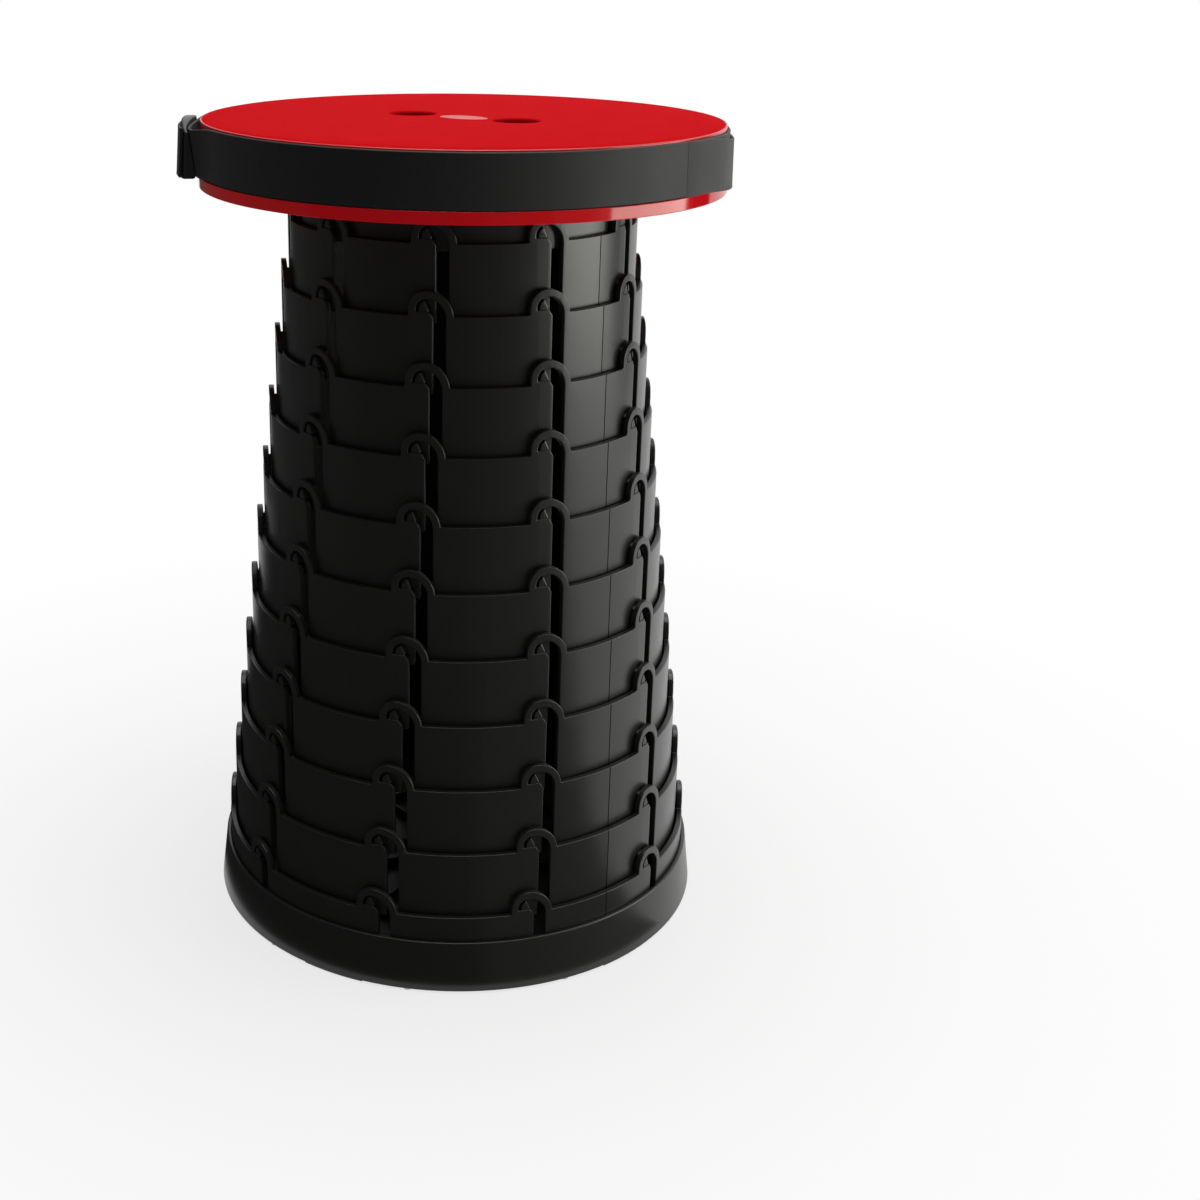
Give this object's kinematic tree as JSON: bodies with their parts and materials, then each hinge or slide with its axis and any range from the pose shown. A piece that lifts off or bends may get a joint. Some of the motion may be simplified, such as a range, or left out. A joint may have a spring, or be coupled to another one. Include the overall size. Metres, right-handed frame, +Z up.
{
  "type": "collapsible telescopic stool",
  "caption": "Round stool on a column of nested tube sections with hooked slots, which slide down into its foot; carrying strap and finger holes in the seat.",
  "frame": {"origin": "middle of the foot's underside, on the floor", "axes": "+Z up along the column to the seat, -Y towards the front, +X to the right, with the strap's slider at -X"},
  "size_m": [0.2968, 0.2866, 0.4515],
  "materials": {
    "seat_plastic": "glossy",
    "section_plastic": "satin",
    "strap_webbing": "woven",
    "slider_plastic": "satin",
    "pad_rubber": "matte",
    "screw_steel": "zinc plated"
  },
  "bodies": {
    "foot": {"outer_section": "section_plastic", "foot_ring": "section_plastic", "floor_plate": "section_plastic", "foot_screws": "screw_steel", "foot_pads": "pad_rubber"},
    "sliding_10": {"section_10": "section_plastic"},
    "sliding_09": {"section_09": "section_plastic"},
    "sliding_08": {"section_08": "section_plastic"},
    "sliding_07": {"section_07": "section_plastic"},
    "sliding_06": {"section_06": "section_plastic"},
    "sliding_05": {"section_05": "section_plastic"},
    "sliding_04": {"section_04": "section_plastic"},
    "sliding_03": {"section_03": "section_plastic"},
    "sliding_02": {"section_02": "section_plastic"},
    "sliding_01": {"section_01": "section_plastic"},
    "seat": {"seat_lid": "seat_plastic", "seat_skirt": "seat_plastic", "seat_screws": "screw_steel", "inner_section": "section_plastic", "carry_strap": "strap_webbing", "strap_tail": "strap_webbing", "strap_slider": "slider_plastic"}
  },
  "joints": [
    {"name": "slide_10", "type": "slide", "parent": "foot", "child": "sliding_10", "axis": [0, 0, -1], "range_m": [0, 0.0356]},
    {"name": "slide_09", "type": "slide", "parent": "sliding_10", "child": "sliding_09", "axis": [0, 0, -1], "range_m": [0, 0.0356]},
    {"name": "slide_08", "type": "slide", "parent": "sliding_09", "child": "sliding_08", "axis": [0, 0, -1], "range_m": [0, 0.0356]},
    {"name": "slide_07", "type": "slide", "parent": "sliding_08", "child": "sliding_07", "axis": [0, 0, -1], "range_m": [0, 0.0356]},
    {"name": "slide_06", "type": "slide", "parent": "sliding_07", "child": "sliding_06", "axis": [0, 0, -1], "range_m": [0, 0.0356]},
    {"name": "slide_05", "type": "slide", "parent": "sliding_06", "child": "sliding_05", "axis": [0, 0, -1], "range_m": [0, 0.0356]},
    {"name": "slide_04", "type": "slide", "parent": "sliding_05", "child": "sliding_04", "axis": [0, 0, -1], "range_m": [0, 0.0356]},
    {"name": "slide_03", "type": "slide", "parent": "sliding_04", "child": "sliding_03", "axis": [0, 0, -1], "range_m": [0, 0.0356]},
    {"name": "slide_02", "type": "slide", "parent": "sliding_03", "child": "sliding_02", "axis": [0, 0, -1], "range_m": [0, 0.0356]},
    {"name": "slide_01", "type": "slide", "parent": "sliding_02", "child": "sliding_01", "axis": [0, 0, -1], "range_m": [0, 0.0356]},
    {"name": "seat_slide", "type": "slide", "parent": "sliding_01", "child": "seat", "axis": [0, 0, -1], "range_m": [0, 0.0356]}
  ]
}
